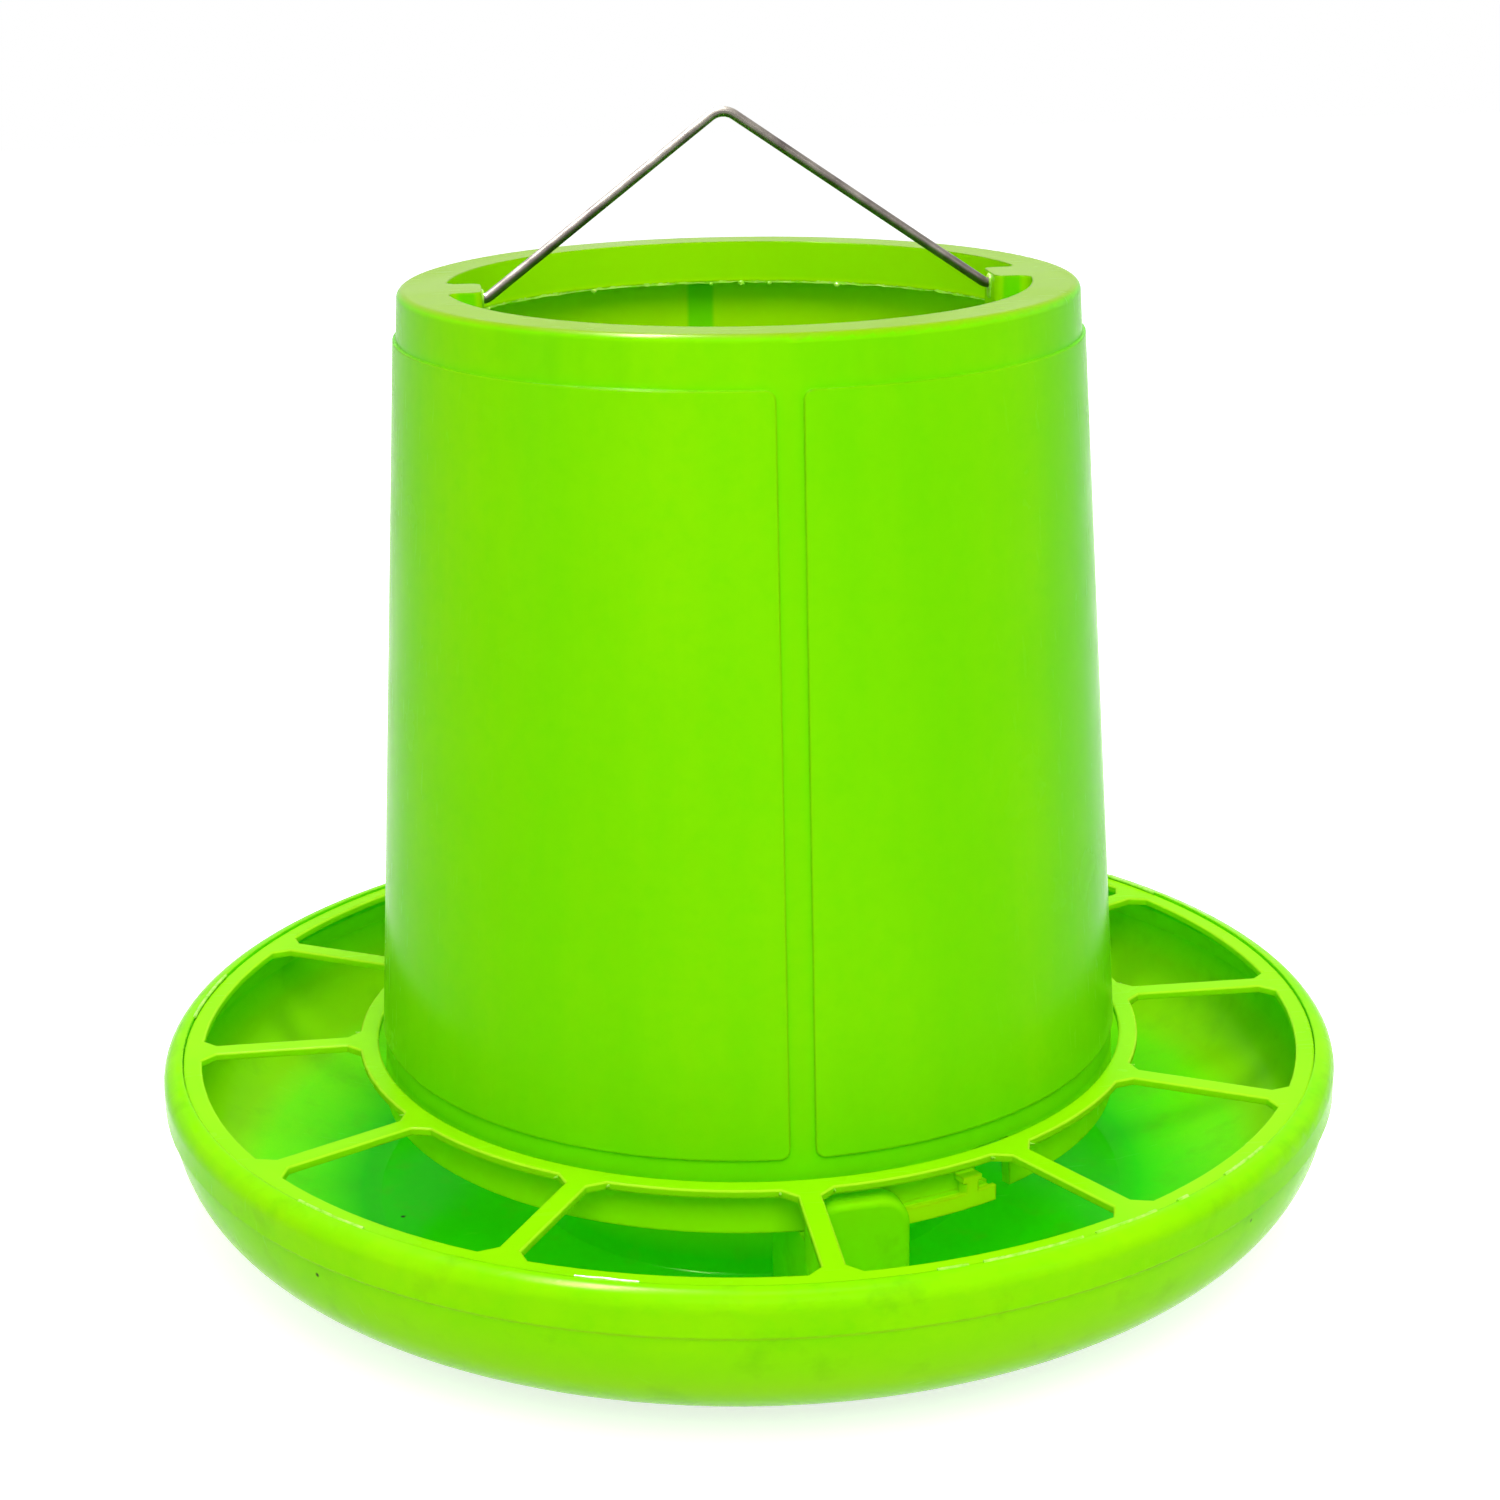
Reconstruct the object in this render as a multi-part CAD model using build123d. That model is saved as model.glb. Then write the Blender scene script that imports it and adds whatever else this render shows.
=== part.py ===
from build123d import *
import math
import os

os.makedirs("parts", exist_ok=True)

# Everything is in millimetres, Z up; the base of the pan stands on Z = 0 and the bail turns about an
# axis along X. Radii are measured from the upright centre line that all the round pieces share.

# Pan
FOOT_RADIUS = 99.0
FOOT_WIDTH = 4.0
FOOT_HEIGHT = 1.4
PAN_WALL = 2.2
PAN_SIDE_REACH = 46.3
PAN_SIDE_RISE = 8.0
PAN_SIDE_LEAN = 1.5
PAN_SIDE_DROP = 13.7
LIP_RADIUS = 152.6
LIP_WIDTH = 5.0
LIP_STEP = 1.1
LIP_HEIGHT = 11.2
LIP_TOP = 48.7
LIP_ROUNDING = 4.4

# Grille, which lies in the lip's seat
GRILLE_DEPTH = 0.5
GRILLE_THICKNESS = 1.9
GRILLE_SEAT_GAP = 0.15
GRILLE_LEDGE = 2.2
GRILLE_RIM_WIDTH = 4.6
GRILLE_RING_WIDTH = 4.8
GRILLE_RING_CLEARANCE = 1.2
SPOKE_COUNT = 12
SPOKE_WIDTH = 5.5
SPOKE_CHAMFER = 3.5
GRILLE_EDGE = 0.4

# Feed spreader in the middle of the pan
CONE_BASE_RADIUS = 62.0
CONE_TOP_RADIUS = 7.0
CONE_TOP_ROUNDING = 5.0
CONE_TOP = 54.0
CONE_WALL = 2.0

# Hopper
HOPPER_BOTTOM = 34.2
HOPPER_TOP = 242.7
HOPPER_BOTTOM_RADIUS = 96.3
HOPPER_TOP_RADIUS = 83.0
HOPPER_WALL = 2.5
HOPPER_RIM_WIDTH = 11.5
HOPPER_RIM_THICKNESS = 2.2
HOPPER_RIM_DEPTH = 10.6
HOPPER_RIM_ROUNDING = 2.0

# Raised panels round the hopper, parted by a plain upright band at the front and the back
PANEL_BOTTOM = 52.6
PANEL_TOP = 230.7
PANEL_RAISE = 0.8
PANEL_BAND_WIDTH = 6.2
PANEL_CORNER = 2.4

# Bayonet flanges on the hopper's foot
FLANGE_START = 1.0
FLANGE_END = 28.6
FLANGE_WIDTH = 3.5
FLANGE_THICKNESS = 3.9
FLANGE_RAIL = 1.3
FLANGE_GROOVE = 0.9
TOOTH_ANGLE = 24.5
TOOTH_WIDTH = 1.9
TOOTH_HEIGHT = 4.2
TOOTH_HEAD = 1.5
TOOTH_FLARE = 0.6
NOTCH_START = 26.6
NOTCH_END = 33.2
NOTCH_HEIGHT = 12.6

# Posts that carry the hopper
POST_COUNT = 2
POST_ANGLE = 6.9
POST_WIDTH = 25.4
POST_INNER_RADIUS = 69.0
POST_RISE = 5.5
POST_HOOK_WALL = 2.4
POST_CORNER = 8.0
POST_EDGE = 2.0
POST_SKIN = 2.0
HOPPER_SEAT_GAP = 0.3
HOOK_CLEARANCE = 0.9
POCKET_CLEARANCE = 0.7

# Bosses that take the ends of the bail
BOSS_COUNT = 2
BOSS_REACH = 8.9
BOSS_WIDTH = 15.0
BOSS_HEIGHT = 9.6
BOSS_CORNER = 2.6
BOSS_BLEND = 3.0
BOSS_FOOT = 3.4

# Bail
BAIL_WIRE = 2.5
BAIL_HOLE_CLEARANCE = 0.08
BAIL_END_CLEARANCE = 0.5
BAIL_AXIS_DEPTH = 2.6
BAIL_RISE = 44.0
BAIL_APEX_SHIFT = -3.4
BAIL_FACE_CLEARANCE = 1.2
BAIL_END_LENGTH = 5.8
BAIL_FOOT_BEND = 2.6
BAIL_APEX_BEND = 5.0

# Places that follow from the sizes above
GRILLE_TOP = LIP_TOP - GRILLE_DEPTH
SEAT_RADIUS = LIP_RADIUS - LIP_WIDTH
GRILLE_OUTER_RADIUS = SEAT_RADIUS - GRILLE_SEAT_GAP
GRILLE_HOLE_RADIUS = GRILLE_OUTER_RADIUS - GRILLE_RIM_WIDTH
GRILLE_RING_INNER = HOPPER_BOTTOM_RADIUS + GRILLE_RING_CLEARANCE
GRILLE_RING_OUTER = GRILLE_RING_INNER + GRILLE_RING_WIDTH
LIP_BOTTOM = LIP_TOP - LIP_HEIGHT
HOPPER_RIM_INNER_RADIUS = HOPPER_TOP_RADIUS - HOPPER_RIM_WIDTH
BOSS_TIP_RADIUS = HOPPER_RIM_INNER_RADIUS - BOSS_REACH
FLANGE_RADIUS = HOPPER_BOTTOM_RADIUS + FLANGE_WIDTH
FLANGE_TOP = HOPPER_BOTTOM + FLANGE_THICKNESS
POCKET_RADIUS = FLANGE_RADIUS + POCKET_CLEARANCE
POST_OUTER_RADIUS = POCKET_RADIUS + POST_HOOK_WALL
POST_TOP = FLANGE_TOP + POST_RISE
POST_BRIDGE_TOP = HOPPER_BOTTOM - HOPPER_SEAT_GAP
HOOK_INNER_RADIUS = HOPPER_BOTTOM_RADIUS + HOOK_CLEARANCE
BAIL_AXIS_HEIGHT = HOPPER_TOP - BAIL_AXIS_DEPTH
BAIL_FOOT = BOSS_TIP_RADIUS - BAIL_FACE_CLEARANCE
BAIL_END = BAIL_FOOT + BAIL_END_LENGTH


def drum(radius, bottom, top):
    """A plain upright cylinder between two heights."""
    return Pos(0, 0, bottom) * Cylinder(radius, top - bottom, align=(Align.CENTER, Align.CENTER, Align.MIN))


def taper(bottom_radius, top_radius, bottom, top):
    """An upright cone between two heights."""
    shape = Cone(bottom_radius, top_radius, top - bottom, align=(Align.CENTER, Align.CENTER, Align.MIN))
    return Pos(0, 0, bottom) * shape


def sector(inner, outer, start, end, bottom, top):
    """A piece of a ring between two angles, counted from the front (-Y) towards +X."""
    ring = drum(outer, bottom, top) - drum(inner, bottom, top)
    reach = outer * 2
    first = math.radians(start - 90)
    last = math.radians(end - 90)
    middle = (first + last) / 2
    corners = [(0, 0)] + [(reach * math.cos(a), reach * math.sin(a)) for a in (first, middle, last)]
    wedge = extrude(make_face(Polyline(*corners, close=True)), top - bottom)
    return ring & (Pos(0, 0, bottom) * wedge)


def around(shape, count):
    """The same shape repeated evenly about the centre line."""
    return [Rot(0, 0, 360 / count * index) * shape for index in range(count)]


def wall_radius(height):
    """Outside radius of the hopper's tapered wall at a height."""
    share = (height - HOPPER_BOTTOM) / (HOPPER_TOP - HOPPER_BOTTOM)
    return HOPPER_BOTTOM_RADIUS + share * (HOPPER_TOP_RADIUS - HOPPER_BOTTOM_RADIUS)


def pan_shell():
    """Round dish with a curved side, a foot ring and a thick rounded lip with a seat for the grille."""
    floor_top = FOOT_HEIGHT + PAN_WALL
    foot_inner = FOOT_RADIUS - FOOT_WIDTH
    side_radius = LIP_RADIUS - LIP_STEP
    inner_radius = side_radius - PAN_WALL
    seat_height = GRILLE_TOP - GRILLE_THICKNESS - GRILLE_SEAT_GAP
    ledge_radius = SEAT_RADIUS - GRILLE_LEDGE
    outside = Bezier(
        (FOOT_RADIUS, 0, 0),
        (FOOT_RADIUS + PAN_SIDE_REACH, 0, PAN_SIDE_RISE),
        (side_radius - PAN_SIDE_LEAN, 0, LIP_BOTTOM - PAN_SIDE_DROP),
        (side_radius, 0, LIP_BOTTOM),
    )
    lip_corner = (LIP_RADIUS, 0, LIP_BOTTOM + LIP_STEP)
    lip_side = Polyline((side_radius, 0, LIP_BOTTOM), lip_corner, (LIP_RADIUS, 0, LIP_TOP - LIP_ROUNDING))
    lip_round = TangentArc(lip_side @ 1, (LIP_RADIUS - LIP_ROUNDING, 0, LIP_TOP), tangent=(0, 0, 1))
    seat = Polyline(
        lip_round @ 1,
        (SEAT_RADIUS, 0, LIP_TOP),
        (SEAT_RADIUS, 0, seat_height),
        (ledge_radius, 0, seat_height),
        (ledge_radius, 0, seat_height - GRILLE_LEDGE),
        (inner_radius, 0, LIP_BOTTOM),
    )
    inside = Bezier(
        (inner_radius, 0, LIP_BOTTOM),
        (inner_radius - PAN_SIDE_LEAN, 0, LIP_BOTTOM - PAN_SIDE_DROP),
        (FOOT_RADIUS + PAN_SIDE_REACH, 0, floor_top + PAN_SIDE_RISE),
        (FOOT_RADIUS, 0, floor_top),
    )
    floor = Polyline(
        (FOOT_RADIUS, 0, floor_top),
        (0, 0, floor_top),
        (0, 0, FOOT_HEIGHT),
        (foot_inner, 0, FOOT_HEIGHT),
        (foot_inner, 0, 0),
        (FOOT_RADIUS, 0, 0),
    )
    return revolve(make_face([outside, lip_side, lip_round, seat, inside, floor]), Axis.Z)


def spreader():
    """Cone in the middle of the floor that sends the feed outwards."""
    cone = taper(CONE_BASE_RADIUS, CONE_TOP_RADIUS, FOOT_HEIGHT, CONE_TOP)
    return fillet(cone.edges().group_by(Axis.Z)[-1], CONE_TOP_ROUNDING)


def spreader_hollow():
    """The space under the cone, which leaves its wall upright thick and its underside open."""
    slope = math.atan2(CONE_BASE_RADIUS - CONE_TOP_RADIUS, CONE_TOP - FOOT_HEIGHT)
    across = CONE_WALL / math.cos(slope)
    top = CONE_TOP - across
    hollow = taper(CONE_BASE_RADIUS - across, CONE_TOP_RADIUS, FOOT_HEIGHT, top)
    return hollow + drum(CONE_BASE_RADIUS - across, 0, FOOT_HEIGHT)


def post():
    """One post at the front: a round-topped hook outside the hopper's wall and a bridge inside it."""
    height = POST_TOP - FOOT_HEIGHT
    arch = Pos(0, FOOT_HEIGHT) * RectangleRounded(POST_WIDTH, height * 2, POST_CORNER)
    hook = extrude(Plane.XZ * arch, POST_OUTER_RADIUS)
    hook = hook & drum(POST_OUTER_RADIUS, FOOT_HEIGHT, POST_TOP)
    front = hook.faces().filter_by(GeomType.CYLINDER).sort_by(Axis.Y)[0]
    upper = [edge for edge in front.edges() if edge.center().Z > FOOT_HEIGHT + POST_EDGE]
    hook = fillet(upper, POST_EDGE) - drum(HOOK_INNER_RADIUS, FOOT_HEIGHT, POST_TOP)
    length = HOOK_INNER_RADIUS + POST_EDGE - POST_INNER_RADIUS
    bridge_height = POST_BRIDGE_TOP - FOOT_HEIGHT
    bridge = Box(POST_WIDTH, length, bridge_height, align=(Align.CENTER, Align.MAX, Align.MIN))
    bridge = fillet(bridge.edges().filter_by(Axis.Z).sort_by(Axis.Y)[-2:], POST_SKIN)
    bridge = Pos(0, -POST_INNER_RADIUS, FOOT_HEIGHT) * bridge
    pocket_top = FLANGE_TOP + POCKET_CLEARANCE
    pocket = drum(POCKET_RADIUS, POST_BRIDGE_TOP, pocket_top)
    return hook + bridge - (pocket - drum(POST_INNER_RADIUS, POST_BRIDGE_TOP, pocket_top))


def post_hollow():
    """The space under one post, open at the underside of the pan."""
    length = HOOK_INNER_RADIUS - POST_INNER_RADIUS - POST_SKIN * 2
    height = POST_BRIDGE_TOP - POST_SKIN
    space = Box(POST_WIDTH - POST_SKIN * 2, length, height, align=(Align.CENTER, Align.MAX, Align.MIN))
    return Pos(0, -(POST_INNER_RADIUS + POST_SKIN), 0) * space


def pan():
    """The whole pan moulding."""
    shape = pan_shell() + spreader()
    for one in around(Rot(0, 0, POST_ANGLE) * post(), POST_COUNT):
        shape = shape + one
    shape = shape - spreader_hollow()
    for one in around(Rot(0, 0, POST_ANGLE) * post_hollow(), POST_COUNT):
        shape = shape - one
    return shape


def grille():
    """Flat ring of radial bars that keeps the birds from scratching the feed out."""
    bottom = GRILLE_TOP - GRILLE_THICKNESS
    outer = drum(GRILLE_OUTER_RADIUS, bottom, GRILLE_TOP) - drum(GRILLE_HOLE_RADIUS, bottom, GRILLE_TOP)
    inner = drum(GRILLE_RING_OUTER, bottom, GRILLE_TOP) - drum(GRILLE_RING_INNER, bottom, GRILLE_TOP)
    half = SPOKE_WIDTH / 2
    wide = half + SPOKE_CHAMFER
    near = math.sqrt(GRILLE_RING_OUTER**2 - wide**2)
    far = math.sqrt(GRILLE_HOLE_RADIUS**2 - wide**2)
    profile = [
        (wide, -GRILLE_RING_INNER),
        (wide, -near),
        (half, -near - SPOKE_CHAMFER),
        (half, -far + SPOKE_CHAMFER),
        (wide, -far),
        (wide, -GRILLE_OUTER_RADIUS),
    ]
    outline = profile + [(-x, y) for x, y in reversed(profile)]
    bar = Pos(0, 0, bottom) * extrude(make_face(Polyline(*outline, close=True)), GRILLE_THICKNESS)
    bar = (bar & drum(GRILLE_OUTER_RADIUS, bottom, GRILLE_TOP)) - drum(GRILLE_RING_INNER, bottom, GRILLE_TOP)
    shape = outer + inner
    for one in around(bar, SPOKE_COUNT):
        shape = shape + one
    return chamfer(shape.edges().group_by(Axis.Z)[-1], GRILLE_EDGE)


def panels():
    """Two raised panels wrapped round the hopper, with rounded corners at the plain bands."""
    height = PANEL_TOP - PANEL_BOTTOM
    middle = (PANEL_TOP + PANEL_BOTTOM) / 2
    skin = taper(
        wall_radius(PANEL_BOTTOM) + PANEL_RAISE, wall_radius(PANEL_TOP) + PANEL_RAISE, PANEL_BOTTOM, PANEL_TOP
    )
    core = taper(
        wall_radius(PANEL_BOTTOM) - HOPPER_WALL / 2,
        wall_radius(PANEL_TOP) - HOPPER_WALL / 2,
        PANEL_BOTTOM,
        PANEL_TOP,
    )
    span = HOPPER_BOTTOM_RADIUS
    gap = Rectangle(PANEL_BAND_WIDTH + PANEL_CORNER * 2, height)
    for side in (-1, 1):
        panel = RectangleRounded(span, height, PANEL_CORNER)
        gap = gap - Pos(side * (PANEL_BAND_WIDTH / 2 + span / 2), 0) * panel
    band = extrude(Plane.XZ * (Pos(0, middle) * gap), span + HOPPER_WALL, both=True)
    return skin - core - band


def flange():
    """One bayonet flange at the hopper's foot: a grooved shelf with a stop tooth whose head flares."""
    inner = HOPPER_BOTTOM_RADIUS - HOPPER_WALL / 2
    start = TOOTH_ANGLE - TOOTH_WIDTH / 2
    end = start + TOOTH_WIDTH
    top = FLANGE_TOP + TOOTH_HEIGHT
    groove_edge = FLANGE_RADIUS - FLANGE_RAIL
    groove_floor = FLANGE_TOP - FLANGE_GROOVE
    shelf = sector(inner, FLANGE_RADIUS, FLANGE_START, FLANGE_END, HOPPER_BOTTOM, FLANGE_TOP)
    groove = sector(HOPPER_BOTTOM_RADIUS, groove_edge, FLANGE_START, FLANGE_END, groove_floor, FLANGE_TOP)
    tooth = sector(inner, FLANGE_RADIUS, start, end, HOPPER_BOTTOM, top)
    head = sector(inner, FLANGE_RADIUS, start - TOOTH_FLARE, end + TOOTH_FLARE, top - TOOTH_HEAD, top)
    return shelf - groove + tooth + head


def notch():
    """Opening in the hopper's foot beside the end of one flange."""
    inner = HOPPER_BOTTOM_RADIUS - HOPPER_WALL * 2
    top = HOPPER_BOTTOM + NOTCH_HEIGHT
    window = sector(inner, FLANGE_RADIUS, NOTCH_START, NOTCH_END, FLANGE_TOP, top)
    slot = sector(inner, FLANGE_RADIUS, FLANGE_END, NOTCH_END, HOPPER_BOTTOM, FLANGE_TOP)
    return window + slot


def boss():
    """Block on the inside of the rim, at the right, that takes one end of the bail."""
    root = HOPPER_RIM_INNER_RADIUS + HOPPER_RIM_THICKNESS
    half = BOSS_WIDTH / 2
    foot_half = half + BOSS_FOOT
    wall = math.sqrt(HOPPER_RIM_INNER_RADIUS**2 - foot_half**2)
    outline = Pos((BOSS_TIP_RADIUS + root) / 2, 0) * Rectangle(root - BOSS_TIP_RADIUS, BOSS_WIDTH)
    outline = outline + Pos((wall + root) / 2, 0) * Rectangle(root - wall, foot_half * 2)
    outline = fillet(outline.vertices().sort_by(Axis.X)[:2], BOSS_CORNER)
    inner = outline.vertices().filter_by_position(Axis.Y, -half, half).sort_by(Axis.X)[-2:]
    outline = fillet(inner, BOSS_BLEND)
    block = Pos(0, 0, HOPPER_TOP - BOSS_HEIGHT) * extrude(outline, BOSS_HEIGHT)
    return block & drum(root, HOPPER_TOP - BOSS_HEIGHT, HOPPER_TOP)


def boss_hole():
    """Blind hole for the bail's end in the boss at the right."""
    radius = BAIL_WIRE / 2 + BAIL_HOLE_CLEARANCE
    depth = BAIL_END + BAIL_END_CLEARANCE - BOSS_TIP_RADIUS
    hole = Rot(0, 90, 0) * Cylinder(radius, depth, align=(Align.CENTER, Align.CENTER, Align.MIN))
    return Pos(BOSS_TIP_RADIUS, 0, BAIL_AXIS_HEIGHT) * hole


def hopper():
    """The whole hopper moulding."""
    rim_under = HOPPER_TOP - HOPPER_RIM_THICKNESS
    lip_bottom = HOPPER_TOP - HOPPER_RIM_DEPTH
    shape = taper(HOPPER_BOTTOM_RADIUS, HOPPER_TOP_RADIUS, HOPPER_BOTTOM, HOPPER_TOP)
    shape = fillet(shape.edges().group_by(Axis.Z)[-1], HOPPER_RIM_ROUNDING)
    inside = taper(
        HOPPER_BOTTOM_RADIUS - HOPPER_WALL, wall_radius(rim_under) - HOPPER_WALL, HOPPER_BOTTOM, rim_under
    )
    shape = shape - inside + drum(HOPPER_RIM_INNER_RADIUS + HOPPER_RIM_THICKNESS, lip_bottom, rim_under)
    shape = shape - drum(HOPPER_RIM_INNER_RADIUS, lip_bottom, HOPPER_TOP) + panels()
    for one in around(boss(), BOSS_COUNT):
        shape = shape + one
    for one in around(boss_hole(), BOSS_COUNT):
        shape = shape - one
    for one in around(flange(), POST_COUNT):
        shape = shape + one
    for one in around(notch(), POST_COUNT):
        shape = shape - one
    return shape


def bail():
    """Steel wire bent to a shallow V with its two ends turned out into the bosses."""
    corners = [
        (-BAIL_END, BAIL_AXIS_HEIGHT),
        (-BAIL_FOOT, BAIL_AXIS_HEIGHT),
        (BAIL_APEX_SHIFT, BAIL_AXIS_HEIGHT + BAIL_RISE),
        (BAIL_FOOT, BAIL_AXIS_HEIGHT),
        (BAIL_END, BAIL_AXIS_HEIGHT),
    ]
    path = FilletPolyline(
        *[(x, 0, z) for x, z in corners], radius=[BAIL_FOOT_BEND, BAIL_APEX_BEND, BAIL_FOOT_BEND]
    )
    start = Plane(origin=(-BAIL_END, 0, BAIL_AXIS_HEIGHT), z_dir=(1, 0, 0))
    return sweep(start * Circle(BAIL_WIRE / 2), path=path)


export_step(pan(), "parts/pan.step")
export_step(grille(), "parts/grille.step")
export_step(hopper(), "parts/hopper.step")
export_step(bail(), "parts/bail.step")
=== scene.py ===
import math

import bpy
from mathutils import Matrix, Vector


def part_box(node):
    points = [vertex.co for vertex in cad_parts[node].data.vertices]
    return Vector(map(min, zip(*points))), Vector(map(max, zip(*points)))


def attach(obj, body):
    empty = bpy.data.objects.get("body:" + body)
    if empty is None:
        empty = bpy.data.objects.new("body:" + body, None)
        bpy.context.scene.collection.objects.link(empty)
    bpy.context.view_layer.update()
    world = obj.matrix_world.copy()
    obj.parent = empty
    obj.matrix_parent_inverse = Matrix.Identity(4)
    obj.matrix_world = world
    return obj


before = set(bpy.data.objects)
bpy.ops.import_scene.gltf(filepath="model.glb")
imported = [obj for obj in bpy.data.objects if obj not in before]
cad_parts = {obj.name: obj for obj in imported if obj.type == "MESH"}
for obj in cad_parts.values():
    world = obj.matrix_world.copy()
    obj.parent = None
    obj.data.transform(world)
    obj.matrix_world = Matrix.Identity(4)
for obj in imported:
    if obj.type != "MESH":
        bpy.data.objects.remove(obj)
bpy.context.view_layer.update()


# The pan: one wide polyethylene moulding in lime green, with a rounded lip that the grille lies in.
# It is glossy and a little cloudy, with grime and dust specks, and has painted shade and painted light.
def linear(red, green, blue):
    """A colour written in 0 to 255 display steps, as the shader wants it."""
    steps = [value / 255 for value in (red, green, blue)]
    return tuple(c / 12.92 if c <= 0.04045 else ((c + 0.055) / 1.055) ** 2.4 for c in steps) + (1.0,)


def node(tree, kind, **settings):
    """One shader node with its settings and its plain inputs, laid out in rows of eight."""
    made = tree.nodes.new(kind)
    row, column = divmod(len(tree.nodes), 8)
    made.location = (column * 220, -row * 320)
    for key, value in settings.items():
        if key in made.inputs:
            made.inputs[key].default_value = value
        else:
            setattr(made, key, value)
    return made


def spread(tree, value, low, high, to_low=0.0, to_high=1.0):
    """Stretches a value from one range to another, held at both ends."""
    made = node(tree, "ShaderNodeMapRange")
    for index, number in enumerate((low, high, to_low, to_high)):
        made.inputs[index + 1].default_value = number
    tree.links.new(value, made.inputs[0])
    return made.outputs[0]


def product(tree, first, second, way="MULTIPLY"):
    """Two values joined into one."""
    made = node(tree, "ShaderNodeMath", operation=way)
    for index, value in enumerate((first, second)):
        if isinstance(value, float):
            made.inputs[index].default_value = value
        else:
            tree.links.new(value, made.inputs[index])
    return made.outputs[0]


def where(tree, share, *limits):
    """A share that is full past the second limit of every value, and nothing before its first."""
    for value, (start, full) in limits:
        share = product(tree, spread(tree, value, start, full), share)
    return share


def tint(tree, share, under, over):
    """Lays one colour over another by a share."""
    made = node(tree, "ShaderNodeMix", data_type="RGBA")
    for index, colour in ((6, under), (7, over)):
        if isinstance(colour, tuple):
            made.inputs[index].default_value = colour
        else:
            tree.links.new(colour, made.inputs[index])
    tree.links.new(share, made.inputs[0])
    return made.outputs[2]


def cloud(tree, scale, stretch=(1, 1, 1), detail=3.0, turn=0.0):
    """Noise on the piece's own coordinates, stretched along its axes."""
    coord = node(tree, "ShaderNodeTexCoord")
    lay = node(tree, "ShaderNodeMapping", Scale=stretch, Rotation=(0, 0, turn))
    noise = node(tree, "ShaderNodeTexNoise", Scale=scale, Detail=detail, Roughness=0.55)
    tree.links.new(coord.outputs["Object"], lay.inputs["Vector"])
    tree.links.new(lay.outputs[0], noise.inputs["Vector"])
    return noise.outputs["Fac"]


def dust(tree, scale, size, rarity):
    """Tiny dark specks: a few of the cells of a fine pattern hold one."""
    coord = node(tree, "ShaderNodeTexCoord")
    cells = node(tree, "ShaderNodeTexVoronoi", Scale=scale)
    tree.links.new(coord.outputs["Object"], cells.inputs["Vector"])
    parts = node(tree, "ShaderNodeSeparateColor")
    tree.links.new(cells.outputs["Color"], parts.inputs[0])
    near = spread(tree, cells.outputs["Distance"], size, size * 0.5)
    few = product(tree, parts.outputs[0], rarity, "GREATER_THAN")
    return product(tree, near, few)


def places(tree):
    """Where a point of a round piece lies, in metres, and how far its face looks outwards and upwards."""
    coord = node(tree, "ShaderNodeTexCoord")
    level = node(tree, "ShaderNodeVectorMath", operation="MULTIPLY")
    level.inputs[1].default_value = (1, 1, 0)
    reach = node(tree, "ShaderNodeVectorMath", operation="LENGTH")
    arm = node(tree, "ShaderNodeVectorMath", operation="NORMALIZE")
    facing = node(tree, "ShaderNodeVectorMath", operation="DOT_PRODUCT")
    face = node(tree, "ShaderNodeSeparateXYZ")
    axes = node(tree, "ShaderNodeSeparateXYZ")
    tree.links.new(coord.outputs["Object"], level.inputs[0])
    tree.links.new(level.outputs[0], reach.inputs[0])
    tree.links.new(level.outputs[0], arm.inputs[0])
    tree.links.new(arm.outputs[0], facing.inputs[0])
    tree.links.new(coord.outputs["Normal"], facing.inputs[1])
    tree.links.new(coord.outputs["Normal"], face.inputs[0])
    tree.links.new(coord.outputs["Object"], axes.inputs[0])
    return {
        "distance": reach.outputs["Value"],
        "height": axes.outputs["Z"],
        "across": axes.outputs["X"],
        "outward": facing.outputs["Value"],
        "upward": face.outputs["Z"],
    }


moulding_gloss = 1.09
moulding_gloss_tint = (0.9, 1.0, 0.3, 1.0)
flow_share, mottle_share, shade_share, edge_highlight_share, scuff_share = 0.30, 0.16, 0.95, 0.45, 0.16
shade_reach = 0.06
edge_round_radius = 0.0007
wave_depth, peel_depth = 0.0009, 0.00003


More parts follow.
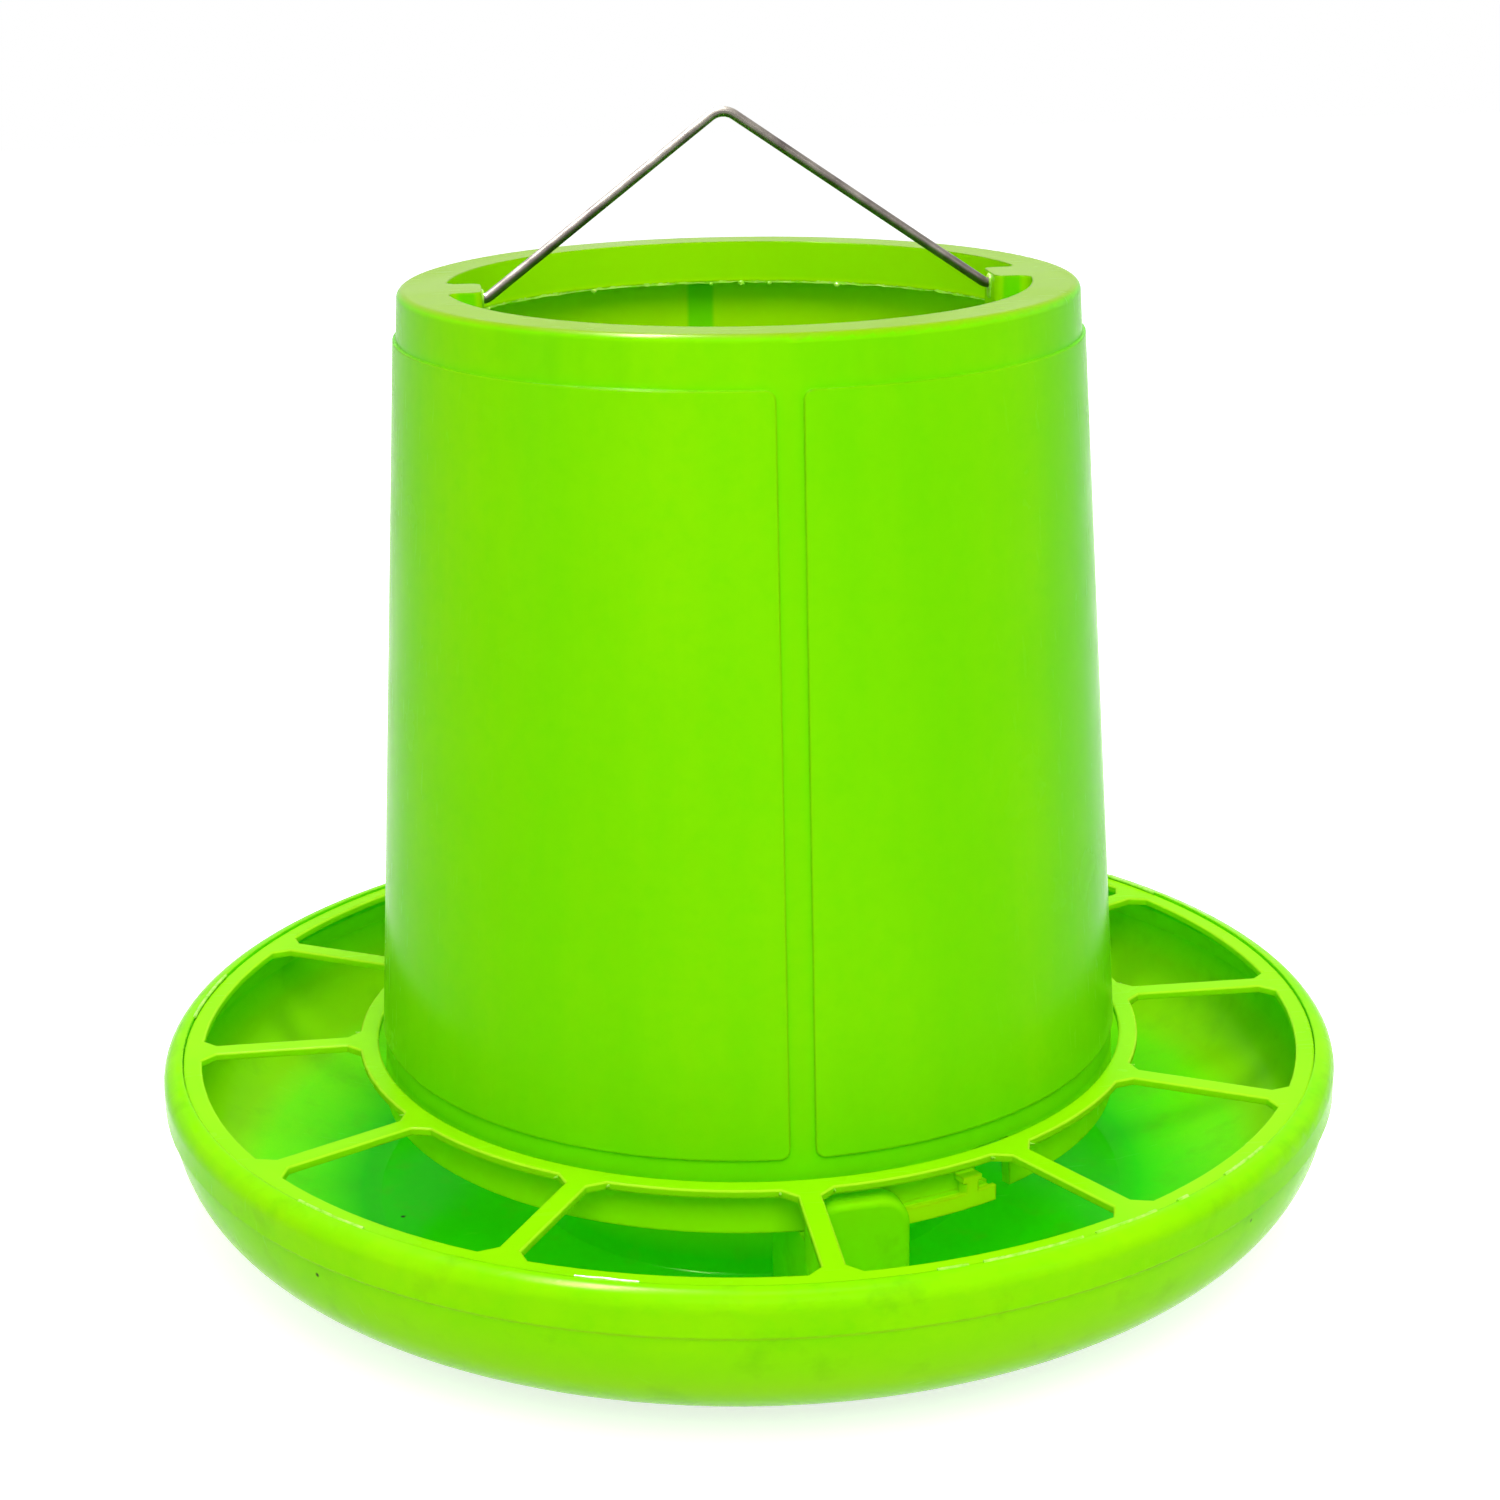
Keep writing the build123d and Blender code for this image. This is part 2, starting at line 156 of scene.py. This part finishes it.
def moulding(name, colours, streaks, drift_scale, roughness):
    """Glossy moulded polyethylene, with painted shade where little light reaches and a painted highlight
    along its rounded edges. Returns it, its tree, the colour so far and the shader it goes to.
    """
    body, deep, pale, edge = colours
    made = bpy.data.materials.new(name)
    made.use_nodes = True
    tree = made.node_tree
    tree.nodes.clear()
    out = node(tree, "ShaderNodeOutputMaterial")
    skin = node(tree, "ShaderNodeBsdfPrincipled", IOR=moulding_gloss)
    skin.inputs["Specular Tint"].default_value = moulding_gloss_tint
    tree.links.new(skin.outputs[0], out.inputs[0])

    drift = spread(tree, cloud(tree, drift_scale), 0.32, 0.68)
    colour = tint(tree, drift, body, pale)
    flow = spread(tree, cloud(tree, 1.0, streaks, 5.0), 0.35, 0.75, to_high=flow_share)
    colour = tint(tree, flow, colour, deep)
    mottle = spread(tree, cloud(tree, 240.0, detail=4.0), 0.45, 0.8, to_high=mottle_share)
    colour = tint(tree, mottle, colour, deep)
    # Painted shade: where little light reaches, the colour turns to the deep green.
    corner = node(tree, "ShaderNodeAmbientOcclusion", samples=3, Distance=shade_reach)
    shade = spread(tree, corner.outputs["AO"], 0.10, 0.80, shade_share, 0.0)
    colour = tint(tree, shade, colour, deep)

    # Painted highlight: rounded edges, where they catch the light, are painted in the pale edge colour;
    # the same rounding bends the normals.
    rounded = node(tree, "ShaderNodeBevel", samples=3, Radius=edge_round_radius)
    flat = node(tree, "ShaderNodeNewGeometry")
    agree = node(tree, "ShaderNodeVectorMath", operation="DOT_PRODUCT")
    tree.links.new(rounded.outputs[0], agree.inputs[0])
    tree.links.new(flat.outputs["Normal"], agree.inputs[1])
    edge_highlight = spread(tree, agree.outputs["Value"], 0.99, 0.80, to_high=edge_highlight_share)
    colour = tint(tree, edge_highlight, colour, edge)

    polish = spread(tree, cloud(tree, 32.0, detail=5.0), 0.3, 0.7, roughness - 0.05, roughness + 0.09)
    scuff = spread(tree, cloud(tree, 1.0, (60, 700, 90), 6.0, 0.6), 0.62, 0.75, to_high=scuff_share)
    tree.links.new(product(tree, polish, scuff, "ADD"), skin.inputs["Roughness"])

    wave = node(tree, "ShaderNodeBump", Strength=0.6, Distance=wave_depth)
    peel = node(tree, "ShaderNodeBump", Strength=0.5, Distance=peel_depth)
    tree.links.new(cloud(tree, 16.0, detail=2.0), wave.inputs["Height"])
    tree.links.new(cloud(tree, 620.0, detail=2.0), peel.inputs["Height"])
    tree.links.new(rounded.outputs[0], wave.inputs["Normal"])
    tree.links.new(wave.outputs[0], peel.inputs["Normal"])
    tree.links.new(peel.outputs[0], skin.inputs["Normal"])
    return made, tree, colour, skin


def dress(name, material, colour, skin):
    """Sends the colour to the material's shader and gives the material to a CAD node."""
    material.node_tree.links.new(colour, skin.inputs["Base Color"])
    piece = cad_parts[name]
    piece.data.materials.clear()
    piece.data.materials.append(material)


# The fourth colour of each moulding is its painted edge highlight.
pan_colours = linear(148, 238, 3), linear(64, 226, 1), linear(164, 245, 5), linear(184, 250, 20)
# Painted shade greens for the trough and the slope, painted light greens for the underside and the posts.
trough_shade_green = linear(4, 218, 0)
slope_shade_green = linear(146, 212, 2)
underside_light_green = linear(164, 236, 14)
post_light_green = linear(150, 249, 2)
grime_green = linear(96, 176, 20)
pan_dust = linear(38, 62, 14)
trough_reach, trough_height = (0.136, 0.104), (0.024, 0.012)
slope_reach, slope_height = (0.130, 0.138), (0.040, 0.036)
post_reach, post_height = (0.1045, 0.1035), (0.006, 0.020)
looks_up, looks_down = (0.0, 0.3), (-0.05, -0.5)
grime_cover = (0.56, 0.74)

pan_plastic, tree, colour, skin = moulding(
    "pan_plastic", pan_colours, streaks=(22, 22, 60), drift_scale=17.0, roughness=0.17,
)
spot = places(tree)
distance, height, upward = spot["distance"], spot["height"], spot["upward"]
# Painted shade: the trough floor near the hopper, in the shade of the grille and the hopper, turns pure
# green.
trough_shade = where(tree, 0.9, (distance, trough_reach), (height, trough_height), (upward, looks_up))
colour = tint(tree, trough_shade, colour, trough_shade_green)
# Painted shade: the pan's inner slope under the grille's outer ring is painted a duller, darker green.
slope_shade = where(tree, 0.8, (distance, slope_reach), (upward, looks_up), (height, slope_height))
colour = tint(tree, slope_shade, colour, slope_shade_green)
# Painted light: faces that look down, lit by the white floor, get a paler green in place of the painted
# shade.
underside_light = where(tree, 0.85, (upward, looks_down))
colour = tint(tree, underside_light, colour, underside_light_green)
# Painted light: the posts, which stand in shade under the grille, are painted brighter.
post_light = where(tree, 0.8, (distance, post_reach), (height, post_height))
colour = tint(tree, post_light, colour, post_light_green)
grime = where(tree, 0.22, (cloud(tree, 75.0, detail=6.0), grime_cover))
colour = tint(tree, grime, colour, grime_green)
colour = tint(tree, dust(tree, scale=55.0, size=0.045, rarity=0.72), colour, pan_dust)
dress("pan", pan_plastic, colour, skin)


# The grille: a flat moulded ring of twelve bars dropped into the pan's seat, in the same plastic, a
# little yellower, with a painted highlight along its chamfered top edges. Its trimmed corners keep
# short whiskers of flash, and a broken pale bead along the edge of the seat is a painted highlight.
grille_colours = linear(152, 236, 3), linear(146, 236, 2), linear(166, 242, 6), linear(196, 252, 30)
# Painted highlight colour for the chamfered top edges.
chamfer_glint_green = linear(206, 255, 48)
edge_from, edge_to = (0.5, 0.65), (0.95, 0.8)

grille_plastic, tree, colour, skin = moulding(
    "grille_plastic", grille_colours, streaks=(30, 30, 30), drift_scale=24.0, roughness=0.22,
)
upward = places(tree)["upward"]
# Painted highlight: the chamfer faces along the bars' top edges get a pale glint colour.
chamfer_glint = where(tree, 0.5, (upward, edge_from), (upward, edge_to))
colour = tint(tree, chamfer_glint, colour, chamfer_glint_green)
dress("grille", grille_plastic, colour, skin)

# The flash finish; the same pale colours on the seat bead are a painted highlight.
flash_and_glint_green = linear(156, 236, 30)
flash_and_glint_pale = linear(208, 246, 110)

flash_and_glint_plastic = bpy.data.materials.new("flash_and_glint_plastic")
flash_and_glint_plastic.use_nodes = True
tree = flash_and_glint_plastic.node_tree
skin = tree.nodes["Principled BSDF"]
skin.inputs["IOR"].default_value = 1.3
pallor = spread(tree, cloud(tree, 420.0, detail=4.0), 0.35, 0.7)
tree.links.new(tint(tree, pallor, flash_and_glint_green, flash_and_glint_pale), skin.inputs["Base Color"])
thin = spread(tree, cloud(tree, 300.0), 0.3, 0.7, 0.18, 0.4)
tree.links.new(thin, skin.inputs["Roughness"])
ragged = node(tree, "ShaderNodeBump", Strength=0.6, Distance=0.0001)
tree.links.new(cloud(tree, 900.0), ragged.inputs["Height"])
tree.links.new(ragged.outputs[0], skin.inputs["Normal"])


def leave_edit():
    """Goes back to object mode with nothing selected."""
    if bpy.context.mode != "OBJECT":
        bpy.ops.object.mode_set(mode="OBJECT")
    bpy.ops.object.select_all(action="DESELECT")


def edit(piece, chosen=None, what="VERT"):
    """Opens a piece in edit mode with the chosen vertices or faces selected, or all of them."""
    leave_edit()
    piece.select_set(True)
    bpy.context.view_layer.objects.active = piece
    bpy.ops.object.mode_set(mode="EDIT")
    bpy.ops.mesh.select_mode(type=what)
    bpy.ops.mesh.select_all(action="SELECT" if chosen is None else "DESELECT")
    if chosen is not None:
        bpy.ops.object.mode_set(mode="OBJECT")
        for part in piece.data.vertices if what == "VERT" else piece.data.polygons:
            part.select = chosen(part)
        bpy.ops.object.mode_set(mode="EDIT")


def settle(piece, name, body):
    """Closes a piece of flash, or the bead of painted glints: its place goes into its mesh, then its
    finish and its body.
    """
    leave_edit()
    piece.select_set(True)
    bpy.context.view_layer.objects.active = piece
    bpy.ops.object.transform_apply(location=True, rotation=True, scale=True)
    bpy.ops.object.shade_smooth_by_angle(angle=math.radians(50))
    piece.name = name
    piece.data.materials.clear()
    piece.data.materials.append(flash_and_glint_plastic)
    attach(piece, body)


def join(pieces):
    """Makes one piece of several."""
    leave_edit()
    for piece in pieces:
        piece.select_set(True)
    bpy.context.view_layer.objects.active = pieces[0]
    bpy.ops.object.join()
    return pieces[0]


def round_place(radius, degrees, height):
    """A point on a level circle, at an angle from the front that grows towards the right."""
    angle = math.radians(degrees - 90)
    return radius * math.cos(angle), radius * math.sin(angle), height


grille_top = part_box("grille")[1][2]
whisker_ring = 0.1030
whisker_root, whisker_tip = 0.00034, 0.00010
whisker_sink = 0.0007
whisker_lean = math.radians(74)
whisker_wobble = 0.00009
whisker_places = (  # degrees from the front, length in millimetres
    (-33.6, 2.2), (-26.2, 1.5), (-3.6, 1.2), (3.5, 1.8), (26.5, 1.4), (33.3, 2.4),
    (63.5, 1.3), (-63.4, 1.7), (-93.7, 1.4), (146.4, 1.6), (213.5, 1.9), (93.5, 1.2),
)

whiskers = []
for degrees, length in whisker_places:
    leave_edit()
    bpy.ops.mesh.primitive_cone_add(
        vertices=8, radius1=whisker_root, radius2=whisker_tip, depth=length / 1000,
        location=round_place(whisker_ring, degrees, grille_top - whisker_sink),
        rotation=(0, whisker_lean, math.radians(degrees - 90)),
    )
    whisker = bpy.context.object
    edit(whisker)
    bpy.ops.mesh.subdivide(number_cuts=2)
    bpy.ops.transform.vertex_random(offset=whisker_wobble, seed=int(length * 10))
    whiskers.append(whisker)
settle(join(whiskers), "grille_whiskers", "body")

# The seat bead: broken runs of pale plastic along the seat's edge, a painted highlight standing in for
# glints there.
seat_radius = 0.14752
bead_radius = 0.00045
bead_lift = 0.00042
bead_wobble = 0.00007
bead_runs = (  # degrees from the front at which each run of the bead starts and ends
    (8.0, 11.5), (12.4, 19.0), (20.1, 22.3), (24.0, 31.5), (33.2, 35.0), (41.0, 47.5),
    (-22.0, -17.5), (-52.0, -44.0), (118.0, 127.0), (188.0, 196.5), (251.0, 262.0),
)


def outside_runs(face):
    """True for a face of the bead that lies outside its runs."""
    degrees = math.degrees(math.atan2(face.center.x, -face.center.y))
    return not any(start < degrees < end or start < degrees + 360 < end for start, end in bead_runs)


leave_edit()
bpy.ops.mesh.primitive_torus_add(
    major_radius=seat_radius, minor_radius=bead_radius, major_segments=420, minor_segments=8,
    location=(0, 0, grille_top + bead_lift),
)
bead = bpy.context.object
edit(bead, outside_runs, "FACE")
bpy.ops.mesh.delete(type="FACE")
edit(bead)
bpy.ops.mesh.fill_holes(sides=0)
bpy.ops.transform.vertex_random(offset=bead_wobble, seed=3)
settle(bead, "seat_glint_bead", "body")


# The hopper: a tapered moulding in the same lime plastic. Its inner wall is painted lighter, as if lit
# through the wall, with a darker strip of painted shade along its thin plain band; its rim top has a
# painted sheen, and its foot and flanges have painted light. It has faint upright flow marks, darker
# patches on its rim band, and a ragged pale line of flash where the mould closed under the rim.
hopper_colours = linear(132, 233, 1), linear(92, 228, 1), linear(146, 239, 2), linear(206, 254, 20)
flow_green = linear(100, 222, 1)
rim_band_patch_green = linear(84, 196, 4)
hopper_dust = linear(46, 84, 16)
# Painted light and shade colours: the inner wall's light, the band's strip, the rim top's sheen, the
# foot's and the flanges' light.
inside_light_green = linear(202, 255, 1)
band_shade_green = linear(96, 236, 1)
crown_sheen_green = linear(148, 184, 8)
foot_light_green = linear(170, 253, 3)
flange_light_green = linear(204, 255, 6)
flow_cover, rim_band_patch_cover = (0.42, 0.66), (0.54, 0.78)
rim_band_height, rim_wall_height, below_rim = (0.2285, 0.2330), (0.2335, 0.2315), (0.2325, 0.2315)
strip_left, strip_right = (-0.0040, -0.0030), (0.0040, 0.0030)
crown_height = (0.240, 0.242)
foot_height = (0.0475, 0.0450)
flange_reach = (0.0963, 0.0968)
looks_in, looks_out, looks_straight_up = (-0.05, -0.4), (-0.1, 0.0), (0.5, 0.95)

hopper_plastic, tree, colour, skin = moulding(
    "hopper_plastic", hopper_colours, streaks=(46, 46, 2.2), drift_scale=9.0, roughness=0.22,
)
spot = places(tree)
height, outward = spot["height"], spot["outward"]
upright = where(tree, 0.5, (cloud(tree, 1.0, (15, 15, 0.7), 2.0), flow_cover))
colour = tint(tree, upright, colour, flow_green)
# Darker patches on the rim band.
rim_band_patch = where(tree, 0.16, (height, rim_band_height), (cloud(tree, 1.0, (70, 70, 9), 4.0), rim_band_patch_cover))
colour = tint(tree, rim_band_patch, colour, rim_band_patch_green)
colour = tint(tree, dust(tree, scale=30.0, size=0.028, rarity=0.84), colour, hopper_dust)
# Painted light: the inner wall is painted lighter, as if lit through the wall, half as much on the rim's
# inner wall.
rim_wall = spread(tree, height, *rim_wall_height, to_low=0.5)
inside_light = product(tree, where(tree, 0.9, (outward, looks_in)), rim_wall)
colour = tint(tree, inside_light, colour, inside_light_green)
# Painted shade: along the plain band the painted inner light is weaker, a darker strip.
band = where(tree, 0.8, (spot["across"], strip_left), (spot["across"], strip_right), (height, below_rim))
colour = tint(tree, product(tree, band, inside_light), colour, band_shade_green)
# Painted sheen: the rim's flat top is given a duller, less green colour, so it reads whitish like a
# grazing reflection.
crown_sheen = where(tree, 0.85, (spot["upward"], looks_straight_up), (height, crown_height))
colour = tint(tree, crown_sheen, colour, crown_sheen_green)
# Painted light: the hopper's foot and its flanges, which stand in shade, are painted brighter.
foot_light = where(tree, 0.85, (height, foot_height), (outward, looks_out))
colour = tint(tree, foot_light, colour, foot_light_green)
flange_light = product(tree, foot_light, where(tree, 0.9, (spot["distance"], flange_reach)))
colour = tint(tree, flange_light, colour, flange_light_green)
dress("hopper", hopper_plastic, colour, skin)

rim_radius = 0.0715
rim_lip = 0.2321
line_gap, line_drop = 0.0003, 0.0001
line_depth, line_thickness = 0.0007, 0.0003
line_ragged, line_wobble = 0.00028, 0.00012
nib_gap, nib_drop = 0.0004, 0.0006
nib_flatness = 0.8
nib_wobble = 0.00022  # for each millimetre of its radius
nib_places = (  # degrees from the front, radius in millimetres
    (172.0, 1.0), (166.0, 0.7), (205.0, 0.8), (151.0, 0.9), (178.5, 0.6), (236.0, 0.7), (20.0, 0.8),
)

leave_edit()
bpy.ops.mesh.primitive_cylinder_add(
    vertices=260, radius=rim_radius + line_gap, depth=line_depth, end_fill_type="NOTHING",
    location=(0, 0, rim_lip - line_drop),
)
rim_flash = bpy.context.object
edit(rim_flash, lambda corner: corner.co.z < 0)
bpy.ops.transform.vertex_random(offset=line_ragged, seed=11)
edit(rim_flash)
bpy.ops.mesh.subdivide(number_cuts=1)
bpy.ops.transform.vertex_random(offset=line_wobble, seed=12)
bpy.ops.object.mode_set(mode="OBJECT")
bpy.ops.object.modifier_add(type="SOLIDIFY")
rim_flash.modifiers[-1].thickness = line_thickness
bpy.ops.object.modifier_apply(modifier=rim_flash.modifiers[-1].name)
nibs = [rim_flash]
for degrees, size in nib_places:
    leave_edit()
    bpy.ops.mesh.primitive_ico_sphere_add(
        subdivisions=2, radius=size / 1000,
        location=round_place(rim_radius + nib_gap, degrees, rim_lip - nib_drop),
    )
    nib = bpy.context.object
    edit(nib)
    bpy.ops.transform.resize(value=(1.0, 1.0, nib_flatness))
    bpy.ops.transform.vertex_random(offset=size * nib_wobble, seed=int(degrees))
    nibs.append(nib)
settle(join(nibs), "rim_flash", "hopper_body")


# The bail: a length of zinc-plated steel wire bent to a shallow V, its ends sprung into the two bosses.
# The zinc is dull grey with drawing lines along it, and each boss has a lump of flash round its hole.
zinc_dark, zinc_light, line_grey = linear(94, 87, 84), linear(132, 127, 118), linear(70, 64, 60)
line_stretch = (160, 3400, 160)

bail_wire = bpy.data.materials.new("bail_wire")
bail_wire.use_nodes = True
tree = bail_wire.node_tree
skin = tree.nodes["Principled BSDF"]
skin.inputs["Metallic"].default_value = 1.0
zinc = spread(tree, cloud(tree, 130.0, detail=5.0), 0.35, 0.7)
colour = tint(tree, zinc, zinc_dark, zinc_light)
drawn = spread(tree, cloud(tree, 1.0, line_stretch, 4.0), 0.45, 0.8, to_high=0.4)
colour = tint(tree, drawn, colour, line_grey)
dull = spread(tree, cloud(tree, 210.0, detail=4.0), 0.3, 0.7, 0.32, 0.44)
tree.links.new(dull, skin.inputs["Roughness"])
lines = node(tree, "ShaderNodeBump", Strength=0.3, Distance=0.00002)
tree.links.new(drawn, lines.inputs["Height"])
tree.links.new(lines.outputs[0], skin.inputs["Normal"])
dress("bail", bail_wire, colour, skin)

axis_height = 0.2401
boss_tip = 0.0626
hole_edge, lump_radius = 0.00182, 0.00044
lump_sink = 0.0001
lump_wobble = 0.00012
trail_from, trail = 0.0017, (0, -0.0003, -0.0016)

for name, side, seed in (("hole_flash_right", 1, 5), ("hole_flash_left", -1, 8)):
    leave_edit()
    bpy.ops.mesh.primitive_torus_add(
        major_radius=hole_edge, minor_radius=lump_radius, major_segments=40, minor_segments=12,
        location=(side * (boss_tip - lump_sink), 0, axis_height), rotation=(0, math.radians(90), 0),
    )
    lump = bpy.context.object
    edit(lump)
    bpy.ops.transform.vertex_random(offset=lump_wobble, seed=seed)
    if name == "hole_flash_right":  # this one trails down the boss
        edit(lump, lambda corner: corner.co.x > trail_from)
        bpy.ops.transform.translate(value=trail)
    settle(lump, name, "hopper_body")


# The room: a white floor that runs on into a white backdrop, soft lamps over the front, above and
# behind, a weak strip at the left, narrow lamps that only shine in the gloss, and the camera.
def backdrop_white(tree):
    """One to the camera, to reflections and through glass, and zero to everything else."""
    rays = node(tree, "ShaderNodeLightPath")
    seen = product(tree, rays.outputs["Is Camera Ray"], rays.outputs["Is Glossy Ray"], "MAXIMUM")
    return product(tree, seen, rays.outputs["Is Transmission Ray"], "MAXIMUM")


white = (1, 1, 1, 1)
air_light = 0.42

world = bpy.data.worlds.new("studio_air")
bpy.context.scene.world = world
world.use_nodes = True
air = world.node_tree
air.nodes.clear()
air_out = node(air, "ShaderNodeOutputWorld")
air_mix = node(air, "ShaderNodeMixShader")
air_lit = node(air, "ShaderNodeBackground", Color=white, Strength=air_light)
air_seen = node(air, "ShaderNodeBackground", Color=white, Strength=1.0)
air.links.new(backdrop_white(air), air_mix.inputs[0])
air.links.new(air_lit.outputs[0], air_mix.inputs[1])
air.links.new(air_seen.outputs[0], air_mix.inputs[2])
air.links.new(air_mix.outputs[0], air_out.inputs[0])

floor_width = 6.0
paper_grey = (0.8, 0.8, 0.8, 1)
paper_lift = 0.72

leave_edit()
bpy.ops.mesh.primitive_plane_add(size=floor_width, location=(0, 0, 0))
floor = bpy.context.object
floor.name = "studio_floor"
paper = bpy.data.materials.new("white_paper")
paper.use_nodes = True
tree = paper.node_tree
tree.nodes.clear()
paper_out = node(tree, "ShaderNodeOutputMaterial")
paper_face = node(tree, "ShaderNodeBsdfDiffuse", Color=paper_grey)
paper_glow = node(tree, "ShaderNodeEmission", Color=white, Strength=paper_lift)
paper_sum = node(tree, "ShaderNodeAddShader")
paper_mix = node(tree, "ShaderNodeMixShader")
tree.links.new(paper_face.outputs[0], paper_sum.inputs[0])
tree.links.new(paper_glow.outputs[0], paper_sum.inputs[1])
tree.links.new(backdrop_white(tree), paper_mix.inputs[0])
tree.links.new(paper_face.outputs[0], paper_mix.inputs[1])
tree.links.new(paper_sum.outputs[0], paper_mix.inputs[2])
tree.links.new(paper_mix.outputs[0], paper_out.inputs[0])
floor.data.materials.append(paper)

lamps = (  # name, place, height of its aim, width, height, power, lights surfaces, shines in gloss
    ("front_lamp", (-0.05, -1.25, 1.3), 0.1, 1.0, 0.8, 13.5, True, True),
    ("top_lamp", (0.1, -0.1, 1.5), 0.1, 0.4, 0.4, 7, True, True),
    ("back_lamp", (0.35, 1.35, 1.2), 0.1, 0.9, 0.7, 8, True, False),
    ("left_strip", (-1.2, -0.35, 0.45), 0.15, 0.1, 0.8, 0.4, True, True),
    ("top_sheen", (-0.3, 0.15, 1.3), 0.15, 0.8, 0.10, 180, False, True),
    ("left_sheen", (-1.2, -0.35, 0.5), 0.15, 0.09, 0.9, 1, False, True),
    ("right_sheen", (0.9, -0.9, 0.6), 0.15, 0.06, 0.7, 1.5, False, True),
)
for name, place, aim, wide, tall, power, lights, shines in lamps:
    data = bpy.data.lights.new(name, "AREA")
    data.shape = "RECTANGLE"
    data.size = wide
    data.size_y = tall
    data.energy = power
    lamp = bpy.data.objects.new(name, data)
    bpy.context.scene.collection.objects.link(lamp)
    lamp.location = place
    lamp.rotation_euler = (Vector((0, 0, aim)) - Vector(place)).to_track_quat("-Z", "Y").to_euler()
    lamp.visible_diffuse = lights
    lamp.visible_glossy = shines

camera_place = (-0.08737, -0.67392, 0.34027)
camera_turn, camera_pitch = math.radians(-7.5), math.radians(90 - 17.8014)
camera_roll = -0.01308

camera_data = bpy.data.cameras.new("camera")
camera_data.lens = 66.542
camera_data.clip_end = 20
camera = bpy.data.objects.new("camera", camera_data)
bpy.context.scene.collection.objects.link(camera)
camera.location = camera_place
turn = Matrix.Rotation(camera_turn, 3, "Z") @ Matrix.Rotation(camera_pitch, 3, "X")
camera.rotation_euler = (turn @ Matrix.Rotation(camera_roll, 3, "Z")).to_euler()
bpy.context.scene.camera = camera
bpy.context.scene.view_settings.view_transform = "Standard"
